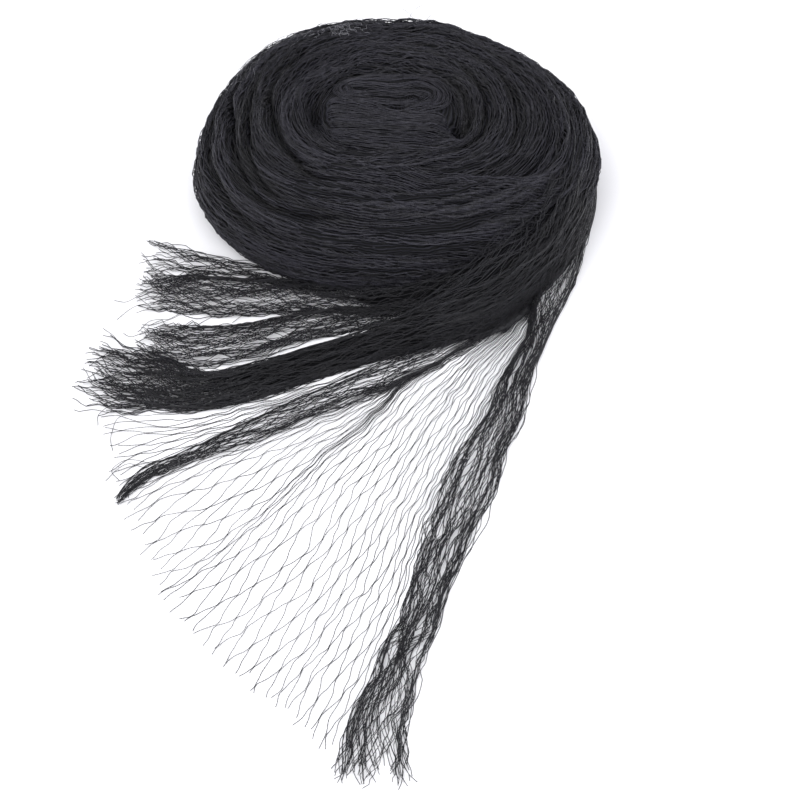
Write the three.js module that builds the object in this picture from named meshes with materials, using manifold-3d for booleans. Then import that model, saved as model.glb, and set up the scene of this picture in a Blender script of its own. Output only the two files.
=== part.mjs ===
// A pond net of black knotless twine mesh, knitted in one piece. Most of its length is wound flat into an
// oval coil. The last stretch runs off the coil's right side and lies on the floor in front of it: three
// gathered tails to the left, a thin gathered fold, an open fan, and a thick gathered edge on the right.
//
// Millimetres, +Z up. The origin is on the floor under the middle of the coil. The loose end lies towards -Y.

import * as THREE from "three";
import { mergeVertices } from "three/addons/utils/BufferGeometryUtils.js";
import Module from "manifold-3d";

const coil = {
  halfWidth: 156, // outline at its fullest, to either side of the origin
  backDepth: 138, // outline at its fullest, towards +Y
  frontDepth: 112, // outline at its fullest, towards -Y
  squareness: 2.06, // 2 is an ellipse, and more is a fuller oval
  height: 88,
  fullestAt: 24, // height of the fullest outline
  restInset: 0.1, // how far in the flat underside stays, as a share of the outline
  crownFullness: 2.3, // 2 is an elliptical crown, and more is a flatter one
  turnsOverCrown: 5, // turns of the winding from the middle of the crown to the fullest outline
  turnGroove: 3.6, // depth of the groove between two turns, where it is deepest
  turnSway: 0.16, // how far the turns wander to and fro as they go round, as a share of a turn
  lean: 0.011, // how far the outline and the crown are out of true, as a share of their size
  aroundSteps: 68,
  crownSteps: 24,
  flankSteps: 3,
};

const core = {
  x: -8,
  y: 2,
  halfWidth: 50,
  halfDepth: 37,
  ringDepth: 9, // the hollow round the folded start of the winding
  ringWidth: 0.17, // as a share of the core
  sink: 3, // how far the core lies below the crown
};

const sectionSteps = 24; // sides of a gathered bunch
const bunchSteps = 11; // sections along a bunch
const foldDepth = 0.16; // depth of the furrows along a bunch, as a share of its height

// Gathered bunches, in sections from the coil outwards: the middle of each section on the floor, its width
// and its height.
const bunches = {
  neck: [
    { x: 112, y: 40, width: 60, height: 58 },
    { x: 121, y: -10, width: 66, height: 62 },
    { x: 110, y: -58, width: 68, height: 55 },
    { x: 82, y: -96, width: 66, height: 45 },
    { x: 44, y: -126, width: 60, height: 35 },
    { x: 2, y: -141, width: 60, height: 24 },
    { x: -44, y: -148, width: 60, height: 8 },
  ],
  backTail: [
    { x: 62, y: -112, width: 22, height: 18 },
    { x: -4, y: -117, width: 30, height: 24 },
    { x: -66, y: -108, width: 44, height: 22 },
    { x: -118, y: -104, width: 52, height: 17 },
    { x: -158, y: -98, width: 56, height: 12 },
    { x: -186, y: -90, width: 60, height: 6 },
  ],
  middleTail: [
    { x: 56, y: -126, width: 16, height: 20 },
    { x: -6, y: -138, width: 18, height: 19 },
    { x: -66, y: -144, width: 24, height: 15 },
    { x: -118, y: -151, width: 33, height: 12 },
    { x: -160, y: -157, width: 38, height: 9 },
    { x: -187, y: -155, width: 28, height: 5 },
  ],
  frontTail: [
    { x: 88, y: -112, width: 26, height: 30 },
    { x: 30, y: -146, width: 30, height: 28 },
    { x: -36, y: -166, width: 30, height: 23 },
    { x: -86, y: -182, width: 34, height: 20 },
    { x: -134, y: -196, width: 41, height: 18 },
    { x: -172, y: -196, width: 42, height: 13 },
    { x: -214, y: -180, width: 54, height: 5 },
  ],
  thinFold: [
    { x: 52, y: -152, width: 10, height: 10 },
    { x: 2, y: -188, width: 13, height: 9 },
    { x: -63, y: -214, width: 14, height: 8 },
    { x: -111, y: -239, width: 14, height: 7 },
    { x: -150, y: -259, width: 13, height: 6 },
    { x: -194, y: -288, width: 7, height: 4 },
  ],
  rightEdge: [
    { x: 126, y: -52, width: 24, height: 38 },
    { x: 116, y: -108, width: 27, height: 26 },
    { x: 99, y: -158, width: 24, height: 19 },
    { x: 82, y: -206, width: 27, height: 16 },
    { x: 61, y: -256, width: 32, height: 14 },
    { x: 36, y: -318, width: 34, height: 12 },
    { x: 17, y: -374, width: 33, height: 10 },
    { x: 2, y: -428, width: 38, height: 8 },
    { x: -13, y: -503, width: 48, height: 4 },
  ],
};

const fan = {
  x: 104, // the point that the open mesh spreads from, under the neck
  y: -112,
  thickness: 2,
  innerRadius: 8,
  start: { angle: 251, reach: 410 }, // along the thick right edge
  end: { angle: 197.5, reach: 338 }, // along the front tail
  creaseHeight: 1.6, // soft creases that run with the mesh
  creases: 5,
  acrossSteps: 22,
  alongSteps: 7,
};

const manifold = await Module();
manifold.setup();

// A closed three.js geometry as a manifold-3d solid.
function toSolid(geometry) {
  geometry.deleteAttribute("normal");
  geometry.deleteAttribute("uv");
  const merged = mergeVertices(geometry, 1e-4);
  const mesh = new manifold.Mesh({
    numProp: 3,
    vertProperties: merged.attributes.position.array,
    triVerts: new Uint32Array(merged.index.array),
  });
  return new manifold.Manifold(mesh);
}

// A manifold-3d solid as a three.js geometry.
function toGeometry(solid) {
  const mesh = solid.getMesh();
  const geometry = new THREE.BufferGeometry();
  geometry.setAttribute("position", new THREE.BufferAttribute(mesh.vertProperties, 3));
  geometry.setIndex(new THREE.BufferAttribute(mesh.triVerts, 1));
  geometry.computeVertexNormals();
  return geometry;
}

// Moves every vertex of a geometry to where place(x, y, z, index) says.
function reshape(geometry, place) {
  const position = geometry.attributes.position;
  for (let i = 0; i < position.count; i++) {
    const point = place(position.getX(i), position.getY(i), position.getZ(i), i);
    position.setXYZ(i, point.x, point.y, point.z);
  }
  return geometry;
}

// The coil was wound and laid down by hand, so its outline and crown swell and sink a little on the way round.
function unevenness(angle) {
  return 1 + coil.lean * (0.6 * Math.sin(3 * angle + 2.36) - Math.sin(2 * angle));
}

// Distance from the origin to the coil's fullest outline, in the direction of angle.
function outlineRadius(angle) {
  const depth = Math.sin(angle) > 0 ? coil.backDepth : coil.frontDepth;
  const across = Math.abs(Math.cos(angle) / coil.halfWidth) ** coil.squareness;
  const along = Math.abs(Math.sin(angle) / depth) ** coil.squareness;
  return unevenness(angle) * (across + along) ** (-1 / coil.squareness);
}

// The coil's section from the middle of its underside to the middle of its crown. Each row has its share of
// the outline's radius, its height, the direction that it faces, and turn, its place in the winding.
function coilSection() {
  const rows = [{ share: 0, height: 0 }, { share: 0.5, height: 0 }];
  for (let i = 0; i < coil.flankSteps; i++) {
    const angle = (i / coil.flankSteps) * (Math.PI / 2);
    const share = 1 - coil.restInset * (1 - Math.sin(angle));
    rows.push({ share, height: coil.fullestAt * (1 - Math.cos(angle)) });
  }
  for (let i = 0; i <= coil.crownSteps; i++) {
    const angle = (1 - i / coil.crownSteps) * (Math.PI / 2);
    const rise = (coil.height - coil.fullestAt) * Math.cos(angle);
    rows.push({
      share: Math.sin(angle) ** (2 / coil.crownFullness),
      height: coil.fullestAt + rise,
      turn: coil.turnsOverCrown * (1 - i / coil.crownSteps),
      outward: Math.sin(angle),
      upward: Math.cos(angle),
    });
  }
  return rows;
}

// Depth of the hollow round the core, and of the sink of the core itself, at a point of the crown.
function coreSink(x, y) {
  const reach = Math.hypot((x - core.x) / core.halfWidth, (y - core.y) / core.halfDepth);
  const ring = core.ringDepth * Math.exp(-(((reach - 1.1) / core.ringWidth) ** 2));
  return ring + core.sink * Math.exp(-(reach ** 2));
}

function coilSolid() {
  const section = coilSection();
  const profile = section.map((row) => new THREE.Vector2(row.share, row.height));
  const lathe = new THREE.LatheGeometry(profile, coil.aroundSteps);
  lathe.rotateX(Math.PI / 2);
  reshape(lathe, (x, y, z, index) => {
    const row = section[index % section.length];
    const angle = Math.atan2(y, x);
    let radius = row.share * outlineRadius(angle);
    let height = row.height;
    if (row.turn) {
      const phase = row.turn + angle / (2 * Math.PI) + coil.turnSway * Math.sin(2 * angle);
      const fade = Math.min(1, row.turn / 2) ** 2 * (0.7 - 0.3 * Math.cos(2 * angle + 2.4));
      const groove = coil.turnGroove * fade * (1 - Math.abs(Math.sin(Math.PI * phase)));
      height *= 1 + row.upward * fade * (unevenness(2 * angle) - 1);
      radius -= groove * row.outward;
      height -= groove * row.upward;
    }
    const point = new THREE.Vector3(radius * Math.cos(angle), radius * Math.sin(angle), height);
    if (row.upward) {
      point.z -= coreSink(point.x, point.y) * row.upward;
    }
    return point;
  });
  return toSolid(lathe);
}

// A gathered bunch: a rounded heap with a flat underside and furrows along it, through the rows of its table.
function bunchSolid(rows) {
  const middle = new THREE.CatmullRomCurve3(rows.map((row) => new THREE.Vector3(row.x, row.y, 0)));
  const sizes = new THREE.CatmullRomCurve3(rows.map((row) => new THREE.Vector3(row.width, row.height, 0)));
  const tube = new THREE.CylinderGeometry(1, 1, 1, sectionSteps, bunchSteps);
  const up = new THREE.Vector3(0, 0, 1);
  reshape(tube, (across, along, rise) => {
    const share = THREE.MathUtils.clamp(0.5 - along, 0, 1);
    const size = sizes.getPoint(share);
    const side = up.clone().cross(middle.getTangent(share)).normalize();
    const furrow = 1 - foldDepth * (1 - Math.abs(Math.cos(1.5 * Math.PI * across)));
    const point = middle.getPoint(share).addScaledVector(side, (across * size.x) / 2);
    point.z = Math.max(0, rise) * size.y * furrow;
    return point;
  });
  return toSolid(tube);
}

// The open mesh as a thin sheet on the floor, spread from one point, with soft creases in its upper face.
function fanSolid() {
  const slab = new THREE.BoxGeometry(1, 1, 1, fan.acrossSteps, fan.alongSteps, 1);
  reshape(slab, (across, along, rise) => {
    const share = across + 0.5;
    const angle = THREE.MathUtils.degToRad(THREE.MathUtils.lerp(fan.start.angle, fan.end.angle, share));
    const reach = THREE.MathUtils.lerp(fan.start.reach, fan.end.reach, share);
    const radius = THREE.MathUtils.lerp(fan.innerRadius, reach, along + 0.5);
    const crease = fan.creaseHeight * Math.abs(Math.sin(Math.PI * fan.creases * share)) ** 3;
    return new THREE.Vector3(
      fan.x + radius * Math.cos(angle),
      fan.y + radius * Math.sin(angle),
      rise > 0 ? fan.thickness + crease : 0,
    );
  });
  return toSolid(slab);
}

const netSolid = Object.values(bunches)
  .map(bunchSolid)
  .reduce((whole, bunch) => whole.add(bunch), coilSolid().add(fanSolid()));

const twine = new THREE.MeshStandardMaterial({ color: 0x26262b, roughness: 0.6, metalness: 0 });
const net = new THREE.Mesh(toGeometry(netSolid), twine);
net.name = "net";

const pondNet = new THREE.Group();
pondNet.add(net);

export default pondNet;
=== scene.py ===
import math

import bpy
import numpy as np
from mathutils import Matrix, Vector


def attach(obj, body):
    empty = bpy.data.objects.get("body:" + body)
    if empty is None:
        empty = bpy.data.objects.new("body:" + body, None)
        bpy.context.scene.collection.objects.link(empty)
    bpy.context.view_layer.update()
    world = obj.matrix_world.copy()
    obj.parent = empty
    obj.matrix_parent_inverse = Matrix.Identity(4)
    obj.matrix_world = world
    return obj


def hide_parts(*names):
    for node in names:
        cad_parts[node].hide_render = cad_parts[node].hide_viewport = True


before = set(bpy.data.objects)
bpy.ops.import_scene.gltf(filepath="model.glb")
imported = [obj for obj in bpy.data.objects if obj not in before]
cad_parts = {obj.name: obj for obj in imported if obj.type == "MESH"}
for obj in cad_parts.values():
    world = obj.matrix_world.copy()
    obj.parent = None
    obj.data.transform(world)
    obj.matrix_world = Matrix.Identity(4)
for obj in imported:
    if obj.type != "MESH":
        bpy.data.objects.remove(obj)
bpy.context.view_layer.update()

# A pond net of black knotless twine: most of it is wound into a flat oval coil, and its loose end is spread
# on the floor in front. Lengths are in millimetres here, and only makePiece turns them into metres.

metre = 0.001  # one millimetre


def linearColour(hexColour):
    channels = [int(hexColour[i:i + 2], 16) / 255 for i in (1, 3, 5)]
    return [c / 12.92 if c <= 0.04045 else ((c + 0.055) / 1.055) ** 2.4 for c in channels] + [1.0]


# adds one node: inputs are plain values or the sockets that feed them, and settings are its own options
def addNode(tree, kind, inputs=None, **settings):
    node = tree.nodes.new(kind)
    for name, value in settings.items():
        setattr(node, name, value)
    for name, value in (inputs or {}).items():
        if isinstance(value, bpy.types.NodeSocket):
            tree.links.new(value, node.inputs[name])
        else:
            node.inputs[name].default_value = value
    return node


def smoothStep(value, low, high):
    share = np.clip((value - low) / (high - low), 0, 1)
    return share * share * (3 - 2 * share)


# a smooth line through values at rising keys, read at other keys
def smoothThrough(keys, values, at):
    keys = np.asarray(keys, float)
    values = np.asarray(values, float)
    slopes = np.gradient(values, keys, axis=0)
    at = np.clip(at, keys[0], keys[-1])
    i = np.clip(np.searchsorted(keys, at) - 1, 0, len(keys) - 2)
    gap = keys[i + 1] - keys[i]
    t = ((at - keys[i]) / gap)[..., None]
    gap = gap[..., None]
    start = (1 + 2 * t) * (1 - t) ** 2 * values[i] + t * (1 - t) ** 2 * gap * slopes[i]
    end = t * t * (3 - 2 * t) * values[i + 1] + t * t * (t - 1) * gap * slopes[i + 1]
    return start + end


# how far along a line each of its points lies
def chordLengths(points):
    return np.concatenate([[0], np.cumsum(np.hypot(*np.diff(points, axis=0).T))])


# the direction in which a line runs at each of its points
def headings(points):
    along = np.gradient(points, axis=0)
    return along / np.linalg.norm(along, axis=1, keepdims=True)


# a smooth random field over two lengths: its swells are about wide by long millimetres, its size about 1
def softField(seed, wide, long, waves=14):
    rng = np.random.default_rng(seed)
    across = rng.normal(0, 0.8, waves) * math.tau / wide
    along = rng.normal(0, 0.8, waves) * math.tau / long
    phase = rng.uniform(0, math.tau, waves)

    def read(a, b):
        total = np.zeros(np.broadcast(a, b).shape)
        for k in range(waves):
            total += np.sin(across[k] * a + along[k] * b + phase[k])
        return total * math.sqrt(2 / waves)

    return read


# the bar is 24.5 mm, and its twines run side by side along a joint
mesh = {"rowSpacing": 23.6, "joint": 3.0}


# a to-and-fro wave of size 1, over positions counted in rows of joints, that stays level along each joint
def barWave(position):
    triangle = 1 - 2 * np.abs((position % 2) - 1)
    return np.clip(triangle / (1 - mesh["joint"] / mesh["rowSpacing"]), -1, 1)


# positions along the mesh, in rows of joints, with a corner at both ends of every joint
def barPlaces(rows, perBar):
    half = mesh["joint"] / mesh["rowSpacing"] / 2
    leg = np.linspace(half, 1 - half, perBar)
    return (np.arange(rows)[:, None] + leg[None, :]).reshape(-1)


# closed tubes round paths of (strand, sample, xyz); width is the twine's diameter, one value or many
def twineTubes(paths, width, tone, sides=3):
    paths = np.asarray(paths, float)
    strands, samples, _ = paths.shape
    radius = np.broadcast_to(np.asarray(width, float) / 2, (strands, samples))
    tangent = np.gradient(paths, axis=1)
    tangent /= np.linalg.norm(tangent, axis=2, keepdims=True) + 1e-9
    side = np.cross(tangent, [0, 0, 1.0])
    side /= np.linalg.norm(side, axis=2, keepdims=True) + 1e-9
    above = np.cross(side, tangent)
    turn = math.tau * np.arange(sides) / sides + math.pi / 2
    ring = (
        paths[:, :, None]
        + radius[..., None, None] * np.cos(turn)[:, None] * side[:, :, None]
        + radius[..., None, None] * np.sin(turn)[:, None] * above[:, :, None]
    )
    along = np.zeros((strands, samples))
    along[:, 1:] = np.cumsum(np.linalg.norm(np.diff(paths, axis=1), axis=2), axis=1)
    first = np.arange(strands)[:, None, None] * samples * sides
    row = np.arange(samples - 1)[None, :, None] * sides
    k = np.arange(sides)[None, None, :]
    a = first + row + k
    b = first + row + (k + 1) % sides
    walls = np.stack([a, b, b + sides, a, b + sides, a + sides], axis=-1).reshape(-1, 3)
    cap = np.array([[0, i + 1, i] for i in range(1, sides - 1)])
    starts = (first + cap).reshape(-1, 3)
    ends = (first + (samples - 1) * sides + cap[:, ::-1]).reshape(-1, 3)
    return {
        "points": ring.reshape(-1, 3),
        "faces": np.concatenate([walls, starts, ends]),
        "along": np.repeat(along.reshape(-1), sides),
        "tone": np.repeat(np.broadcast_to(tone, (strands, samples)).reshape(-1), sides),
    }


# joins batches of points and triangles into one piece of the net
def makePiece(name, batches, material):
    points = np.concatenate([b["points"] for b in batches])
    shift = np.cumsum([0] + [len(b["points"]) for b in batches[:-1]])
    faces = np.concatenate([b["faces"] + s for b, s in zip(batches, shift)])
    skin = bpy.data.meshes.new(name)
    skin.vertices.add(len(points))
    skin.vertices.foreach_set("co", (points * metre).astype(np.float32).ravel())
    skin.loops.add(faces.size)
    skin.loops.foreach_set("vertex_index", faces.astype(np.int32).ravel())
    skin.polygons.add(len(faces))
    skin.polygons.foreach_set("loop_start", np.arange(0, faces.size, 3, dtype=np.int32))
    for attribute in ("along", "tone"):
        data = skin.attributes.new(attribute, "FLOAT", "POINT").data
        data.foreach_set("value", np.concatenate([b[attribute] for b in batches]).astype(np.float32))
    skin.update(calc_edges=True)
    skin.shade_smooth()
    skin.materials.append(material)
    piece = bpy.data.objects.new(name, skin)
    bpy.context.scene.collection.objects.link(piece)
    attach(piece, "root")
    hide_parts("net")
    print(f"{name}: {len(faces)} triangles")
    return piece


# The coil's own shape is the solid's, with the hollows, furrows and ledges of the winding worked into it.
coil = {
    "halfWidth": 156,
    "backDepth": 138,
    "frontDepth": 112,
    "squareness": 2.06,
    "height": 88,
    "fullestAt": 24,
    "restInset": 0.1,
    "crownFullness": 2.3,
    "lean": 0.011,
    "meanRadius": 137,
}
core = {"x": -8, "y": 2, "halfWidth": 50, "halfDepth": 37, "ringDepth": 9, "ringWidth": 0.17, "sink": 3}
# the two ends of the folded core, where the twines dive under the first turn: x, y, half sizes and depth
pockets = [(-63, 8, 6, 14, 12), (47, -12, 5, 12, 12), (-1, 2, 5, 2, 4)]
# the innermost turn of the winding, round the core, and its place on the coil's section
firstTurn = {"x": -8, "y": 3, "halfWidth": 56, "halfDepth": 38, "power": 2.3, "place": 46}
# the last turn lies over the others at the front right; its inner edge: angle, place and thickness
ledge = [(-180, 56, 0), (-110, 60, 0), (-82, 66, 1.2), (-52, 80, 2.4), (-35, 97, 3), (-23, 113, 3.2),
         (-14, 116, 3.2), (0, 112, 3), (27, 112, 2.4), (62, 116, 0)]
# deep furrows between the thick turns on the left: angle, place and depth
furrows = [
    [(158, 139, 0), (172, 137, 2.5), (188, 136, 4), (198, 136, 4), (208, 142, 3), (226, 152, 0)],
    [(134, 130, 0), (159, 128, 4), (174, 117, 5), (188, 114, 5), (200, 117, 5), (213, 124, 4), (226, 124, 3),
     (241, 118, 2.5), (256, 115, 0)],
    [(146, 106, 0), (168, 101, 4), (186, 100, 5), (199, 105, 5), (209, 112, 4), (224, 116, 0)],
    [(122, 94, 0), (153, 90, 3), (181, 77, 4), (202, 77, 4), (224, 86, 2.5), (242, 88, 0)],
    [(176, 150, 0), (192, 152, 2.5), (206, 158, 2.5), (220, 166, 0)],
    [(20, 66, 1), (50, 72, 3), (80, 74, 2), (100, 72, 0)],
    [(-20, 84, 1), (10, 84, 3), (40, 90, 2.5), (66, 92, 0)],
    [(-8, 98, 1), (14, 98, 2), (38, 104, 2), (60, 108, 0)],
    [(-70, 50, 0), (-35, 51, 3.5), (0, 52, 4), (34, 54, 3), (70, 56, 0)],
    [(-44, 62, 0), (-18, 63, 3), (12, 64, 3), (44, 66, 0)],
]
furrowWidth = 1.9
# where the hand-laid outline bulges out or stays in: angle and distance
bulges = [(0, -1), (25, -3.5), (50, -3), (70, 0), (92, -4), (115, 0), (138, 1.6), (155, -1.5), (178, 0),
          (188, 3), (200, 4.5), (225, 6), (245, 5), (262, 2), (290, 0), (325, -3), (342, -2.5), (360, -1)]


def unevenness(angle):
    return 1 + coil["lean"] * (0.6 * np.sin(3 * angle + 2.36) - np.sin(2 * angle))


def ovalRadius(angle, halfWidth, halfDepth, power):
    across = np.abs(np.cos(angle) / halfWidth) ** power
    along = np.abs(np.sin(angle) / halfDepth) ** power
    return (across + along) ** (-1 / power)


def outlineRadius(angle):
    depth = np.where(np.sin(angle) > 0, coil["backDepth"], coil["frontDepth"])
    return unevenness(angle) * ovalRadius(angle, coil["halfWidth"], depth, coil["squareness"])


# the section from the middle of the crown down to the floor, with each point's place along it
def coilSection(steps=300):
    crown = np.linspace(0, math.pi / 2, steps)
    flank = np.linspace(math.pi / 2, 0, steps // 2)[1:]
    crownHeight = coil["fullestAt"] + (coil["height"] - coil["fullestAt"]) * np.cos(crown)
    share = np.concatenate([
        np.sin(crown) ** (2 / coil["crownFullness"]),
        1 - coil["restInset"] * (1 - np.sin(flank)),
    ])
    height = np.concatenate([crownHeight, coil["fullestAt"] * (1 - np.cos(flank))])
    lean = np.concatenate([crown, np.full(len(flank), math.pi / 2)])
    step = np.hypot(np.diff(share) * coil["meanRadius"], np.diff(height))
    place = np.concatenate([[0], np.cumsum(step)])
    return {"place": place, "share": share, "height": height, "lean": lean, "crown": steps}


section = coilSection()
sectionLength = section["place"][-1]
crownLength = section["place"][section["crown"] - 1]


# the section's share, height or lean at a place along it
def sectionAt(place, what="share"):
    return np.interp(place, section["place"], section[what])


# points on the coil at an angle and a place down its section, lifted off the surface by lift
def coilPoints(angle, place, lift):
    height = sectionAt(place, "height")
    lean = sectionAt(place, "lean")
    nudge = 0.5
    run = (sectionAt(place + nudge) - sectionAt(place - nudge)) * outlineRadius(angle)
    drop = sectionAt(place - nudge, "height") - sectionAt(place + nudge, "height")
    size = np.hypot(run, drop) + 1e-9
    radius = sectionAt(place) * outlineRadius(angle) + lift * drop / size
    x = radius * np.cos(angle)
    y = radius * np.sin(angle)
    across = (x - core["x"]) / core["halfWidth"]
    along = (y - core["y"]) / core["halfDepth"]
    reach = np.hypot(across, along) + 1e-9
    # the hollow round the core is deep at its ends, and nearly full in front
    deep = 0.15 + 0.75 * (across / reach) ** 2 + 0.45 * np.clip(along / reach, 0, 1) ** 2
    sink = deep * core["ringDepth"] * np.exp(-(((reach - 1.1) / core["ringWidth"]) ** 2))
    sink = sink + core["sink"] * np.exp(-(reach ** 2))
    for pocketX, pocketY, halfWidth, halfDepth, depth in pockets:
        away = ((x - pocketX) / halfWidth) ** 2 + ((y - pocketY) / halfDepth) ** 2
        sink = sink + depth * np.exp(-away)
    z = height - sink * np.cos(lean) + lift * run / size
    return np.stack([x, y, z], axis=-1)


# points on the coil over a spot of the floor plan, lifted off the surface by lift
def crownPoints(x, y, lift):
    angle = np.arctan2(y, x)
    crown = section["crown"]
    share = np.hypot(x, y) / outlineRadius(angle)
    place = np.interp(share, section["share"][:crown], section["place"][:crown])
    return coilPoints(angle, place, lift)


ledgeAngles, ledgePlaces, ledgeRises = np.array(ledge, float).T


def ledgeAt(angle):
    degrees = (np.degrees(angle) + 180) % 360 - 180
    place = np.interp(degrees, ledgeAngles, ledgePlaces)
    return place, np.interp(degrees, ledgeAngles, ledgeRises, right=0)


swell = softField(11, 9, 130)
swellRadius = 90  # turns an angle into a length along the swells


# how deep the furrows are at an angle and a place of the winding
def furrowDepth(angle, place):
    degrees = np.degrees(angle)
    total = np.zeros(np.broadcast(angle, place).shape)
    for line in furrows:
        at, middle, depth = np.array(line, float).T
        turned = (degrees - at[0] + 20) % 360 + at[0] - 20
        away = (place - smoothThrough(at, middle[:, None], turned)[..., 0]) / furrowWidth
        trough = 1.9 * np.exp(-np.abs(away)) + 0.7 * np.exp(-((away / 2.6) ** 2))
        total = total + trough * np.interp(turned, at, depth, left=0, right=0)
    return total


# how far the winding stands above or below the plain surface
def relief(angle, place):
    degrees = np.degrees(angle)
    total = 1.5 * swell(place, angle * swellRadius) * smoothStep(place, 40, 70) - furrowDepth(angle, place)
    inner, rise = ledgeAt(angle)
    step = smoothStep(place, inner - 1, inner + 3) * (1 - smoothStep(place, inner + 14, inner + 46))
    bulge = np.interp(degrees % 360, *np.array(bulges, float).T) * smoothStep(place, 60, 110)
    return total * (1 - smoothStep(place, 150, 175)) + rise * step + bulge * (1 - smoothStep(place, 182, 200))


# points along the winding, whose turns are ovals that widen from the first turn to the outline
def windingPoints(angle, place, lift):
    angle, place = np.broadcast_arrays(angle, place)
    heading = np.stack([np.cos(angle), np.sin(angle)], axis=-1)
    middle = np.array([firstTurn["x"], firstTurn["y"]])
    radius = ovalRadius(angle, firstTurn["halfWidth"], firstTurn["halfDepth"], firstTurn["power"])
    first = middle + (radius * np.minimum(1, place / firstTurn["place"]))[..., None] * heading
    innerShare = sectionAt(firstTurn["place"])
    widening = (sectionAt(np.minimum(place, crownLength)) - innerShare) / (1 - innerShare)
    widening = np.clip(widening, 0, 1)[..., None]
    spot = (1 - widening) * first + widening * outlineRadius(angle)[..., None] * heading
    lift = lift + relief(angle, place)
    onCrown = crownPoints(spot[..., 0], spot[..., 1], lift)
    onFlank = coilPoints(angle, place, lift)
    return np.where((place < crownLength)[..., None], onCrown, onFlank)


def newMaterial(name):
    material = bpy.data.materials.new(name)
    material.use_nodes = True
    return material, material.node_tree, material.node_tree.nodes["Principled BSDF"]


# a pattern of even ribs, one for each spacing of a length
def evenRibs(tree, length, spacing):
    turned = addNode(tree, "ShaderNodeMath", {0: length, 1: math.tau / spacing}, operation="MULTIPLY")
    return addNode(tree, "ShaderNodeMath", {0: turned.outputs[0]}, operation="SINE").outputs[0]


# Black polyethylene twine, knitted without knots: soot black, faintly blue, with a soft waxy gloss. The bump
# is the chain of knitted stitches, drawn at 1.6 mm, coarser than the real 0.8 mm so that it can show, and the
# kinks of about 5 mm that the twine keeps from having been folded up.
def knotlessTwine(name, darkHex="#0a0a0d", paleHex="#27262f", stitch=1.6, roughness=0.5, gloss=0.5):
    material, tree, shader = newMaterial(name)
    # the tone attribute: a random tone for each twine, which on the coil's outer turns also carries painted
    # highlight on the ridge tops and painted shade in the ridge gaps and furrows
    tone = addNode(tree, "ShaderNodeAttribute", attribute_name="tone")
    along = addNode(tree, "ShaderNodeAttribute", attribute_name="along")
    stitches = evenRibs(tree, along.outputs["Fac"], stitch)
    place = addNode(tree, "ShaderNodeTexCoord").outputs["Object"]
    dust = addNode(tree, "ShaderNodeTexNoise", {"Vector": place, "Scale": 60.0, "Detail": 3.0})
    kinks = addNode(tree, "ShaderNodeTexNoise", {"Vector": place, "Scale": 260.0, "Detail": 1.0})
    mixed = addNode(
        tree, "ShaderNodeMath", {0: dust.outputs["Fac"], 1: 0.35, 2: tone.outputs["Fac"]},
        operation="MULTIPLY_ADD",
    )
    ramp = addNode(tree, "ShaderNodeValToRGB", {"Fac": mixed.outputs[0]})
    ramp.color_ramp.elements[0].position = 0.1
    ramp.color_ramp.elements[0].color = linearColour(darkHex)
    ramp.color_ramp.elements[1].color = linearColour(paleHex)
    rough = addNode(
        tree, "ShaderNodeMapRange",
        {"Value": stitches, "From Min": -1.0, "To Min": roughness + 0.08, "To Max": roughness - 0.08},
    )
    kinked = addNode(
        tree, "ShaderNodeBump", {"Height": kinks.outputs["Fac"], "Strength": 1.0, "Distance": 0.0022}
    ).outputs["Normal"]
    bump = addNode(
        tree, "ShaderNodeBump", {"Height": stitches, "Strength": 0.5, "Distance": 0.00012, "Normal": kinked}
    )
    tree.links.new(ramp.outputs["Color"], shader.inputs["Base Color"])
    tree.links.new(rough.outputs["Result"], shader.inputs["Roughness"])
    tree.links.new(bump.outputs["Normal"], shader.inputs["Normal"])
    shader.inputs["Specular IOR Level"].default_value = gloss
    return material


# The same twine packed tight under the outer turns, drawn darker as painted shade, with fine ridges that run
# with the winding.
def packedTwine(name, ridge=2.3):
    material, tree, shader = newMaterial(name)
    across = addNode(tree, "ShaderNodeAttribute", attribute_name="along")
    tone = addNode(tree, "ShaderNodeAttribute", attribute_name="tone")
    place = addNode(tree, "ShaderNodeTexCoord").outputs["Object"]
    wander = addNode(tree, "ShaderNodeTexNoise", {"Vector": place, "Scale": 45.0, "Detail": 3.0})
    moved = addNode(
        tree, "ShaderNodeMath", {0: wander.outputs["Fac"], 1: 9.0, 2: across.outputs["Fac"]},
        operation="MULTIPLY_ADD",
    )
    ridges = evenRibs(tree, moved.outputs[0], ridge)
    # painted shade: the colour is darker in the troughs of the ridges and paler on their crests
    height = addNode(
        tree, "ShaderNodeMath", {0: ridges, 1: 0.35, 2: tone.outputs["Fac"]}, operation="MULTIPLY_ADD"
    )
    ramp = addNode(tree, "ShaderNodeValToRGB", {"Fac": height.outputs[0]})
    ramp.color_ramp.elements[0].color = linearColour("#030304")
    ramp.color_ramp.elements[1].color = linearColour("#2c2c34")
    bump = addNode(tree, "ShaderNodeBump", {"Height": ridges, "Strength": 1.0, "Distance": 0.0008})
    tree.links.new(ramp.outputs["Color"], shader.inputs["Base Color"])
    tree.links.new(bump.outputs["Normal"], shader.inputs["Normal"])
    shader.inputs["Roughness"].default_value = 0.66
    shader.inputs["Specular IOR Level"].default_value = 0.22
    return material


coilTwine = knotlessTwine("knotlessTwineInCoil", darkHex="#060608", paleHex="#31303a")
looseTwine = knotlessTwine("knotlessTwineLoose", darkHex="#0a0a0d", paleHex="#232329")
# painted light: the frayed twine is drawn pale grey, though the twine is black, for the bright flecks along
# the coil's rim
fuzzTwine = knotlessTwine("frayedTwinePaintedLight", darkHex="#1c1c20", paleHex="#8c8c92", roughness=0.4)
# painted shade: the packed twine underneath is drawn darker than the twine on top
paintedShadeTwine = packedTwine("packedInnerPaintedShade")


insideCoil = {"aroundSteps": 230, "downSteps": 96, "below": 2.2, "clearance": 0.3}


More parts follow.
